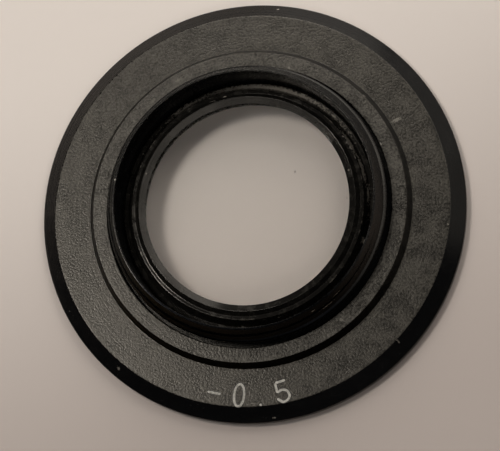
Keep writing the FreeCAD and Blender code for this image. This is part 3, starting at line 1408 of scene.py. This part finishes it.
@dataclass(frozen=True)
class Floor:
    """The surface that the part lies on, with its half size in metres."""

    half_size: float = 3.0

    def build(self, material: bpy.types.Material) -> None:
        """Lay the floor.

        Args:
            material: the finish.
        """
        reach = self.half_size
        corners = [(-reach, -reach, 0), (reach, -reach, 0), (reach, reach, 0), (-reach, reach, 0)]
        mesh = bpy.data.meshes.new("floor")
        mesh.from_pydata(corners, [], [(0, 1, 2, 3)])
        mesh.materials.append(material)
        floor = bpy.data.objects.new("floor", mesh)
        bpy.context.scene.collection.objects.link(floor)


class Task(Enum):
    """What a light is there for: to light surfaces, or to be mirrored as sheen."""

    FILL = "fill"
    SHEEN = "sheen"


@dataclass(frozen=True)
class SoftLight:
    """A soft square light, by its direction from the part, its distance and size in metres."""

    task: Task
    azimuth: float
    elevation: float
    size: float
    watts: float
    distance: float = 0.15

    def build(self) -> None:
        """Hang the light and turn it towards the part."""
        turn = math.radians(self.azimuth)
        lift = math.radians(self.elevation)
        flat = math.cos(lift)
        towards = Vector((flat * math.cos(turn), flat * math.sin(turn), math.sin(lift)))
        name = f"{self.task.value}_from_{self.azimuth:.0f}"
        data = bpy.data.lights.new(name, "AREA")
        data.size = self.size
        data.energy = self.watts
        lamp = bpy.data.objects.new(name, data)
        lamp.visible_glossy = self.task is Task.SHEEN
        lamp.visible_diffuse = self.task is Task.FILL
        lamp.visible_transmission = False
        lamp.location = towards * self.distance
        lamp.rotation_euler = towards.to_track_quat("Z", "Y").to_euler()
        bpy.context.scene.collection.objects.link(lamp)


@dataclass(frozen=True)
class PhotoCamera:
    """The camera at the photograph's viewing angle."""

    place: tuple = (17.305, -23.153, 96.361)
    looks_at: tuple = (-0.100, -0.774, 0.25)
    focal_length: float = 144.0
    sensor: float = 36.0

    def build(self) -> None:
        """Make the scene's camera, with the part's +Y upwards in the picture."""
        place = Vector(self.place) * MM
        forward = (Vector(self.looks_at) * MM - place).normalized()
        right = forward.cross(Vector((0, 1, 0))).normalized()
        upward = right.cross(forward)
        data = bpy.data.cameras.new("photo_camera")
        data.lens = self.focal_length
        data.sensor_width = self.sensor
        data.clip_start = 0.001
        data.clip_end = 20.0
        camera = bpy.data.objects.new("photo_camera", data)
        turned = Matrix((right, upward, -forward)).transposed().to_4x4()
        camera.matrix_world = Matrix.Translation(place) @ turned
        bpy.context.scene.collection.objects.link(camera)
        bpy.context.scene.camera = camera


@dataclass
class Studio:
    """Camera, floor and light."""

    camera: PhotoCamera = PhotoCamera()
    floor: Floor = Floor()
    surround: tuple = (1.0, 0.97, 0.94, 1)
    surround_strength: float = 0.005
    lights: tuple = (
        SoftLight(Task.FILL, 152, 66, 0.03, 0.0768),
        SoftLight(Task.FILL, 130, 40, 0.08, 0.0318),
        SoftLight(Task.FILL, 60, 42, 0.08, 0.0429),
        SoftLight(Task.FILL, 300, 50, 0.08, 0.0333),
        SoftLight(Task.FILL, 100, 22, 0.08, 0.0525),
        SoftLight(Task.FILL, 70, 20, 0.08, 0.0483),
        SoftLight(Task.SHEEN, 180, 62, 0.03, 0.1300),
        SoftLight(Task.SHEEN, 105, 50, 0.04, 0.0800),
        SoftLight(Task.SHEEN, 45, 40, 0.07, 0.0345),
        SoftLight(Task.SHEEN, 75, 30, 0.07, 0.0400),
        SoftLight(Task.SHEEN, 300, 56, 0.06, 0.0180),
        SoftLight(Task.SHEEN, 345, 56, 0.06, 0.0130),
        SoftLight(Task.SHEEN, 15, 50, 0.06, 0.0140),
        SoftLight(Task.SHEEN, 255, 56, 0.06, 0.0110),
        SoftLight(Task.SHEEN, 215, 58, 0.06, 0.0090),
        SoftLight(Task.SHEEN, 80, 11, 0.08, 0.0140),
        SoftLight(Task.SHEEN, 45, 15, 0.08, 0.0080),
        SoftLight(Task.SHEEN, 15, 28, 0.08, 0.0090),
    )

    def build(self, effects: Effects) -> None:
        """Set up the studio.

        Args:
            effects: the shared effects, for the floor's finish.
        """
        self.camera.build()
        self.floor.build(PaleFloor().material(effects))
        for light in self.lights:
            light.build()
        world = bpy.data.worlds.new("surround")
        world.use_nodes = True
        backdrop = world.node_tree.nodes["Background"]
        backdrop.inputs["Color"].default_value = self.surround
        backdrop.inputs["Strength"].default_value = self.surround_strength
        bpy.context.scene.world = world
        bpy.context.scene.view_settings.view_transform = "Standard"
        log.info("studio: %d lights", len(self.lights))


def main() -> None:
    """Build the finishes, the pieces and the studio in order."""
    logging.basicConfig(level=logging.INFO, format="%(name)s: %(message)s")
    effects = Effects()
    MountRing().build(BlackAnodised().material(effects))
    RetainingRing().build(SatinBlack().material(effects))
    Lens().build(ClearGlass().material(effects))
    EngravedFigures(figures=minus_half_dioptre()).build(FigurePaint().material(effects))
    Studio().build(effects)


if __name__ == "__main__":
    main()
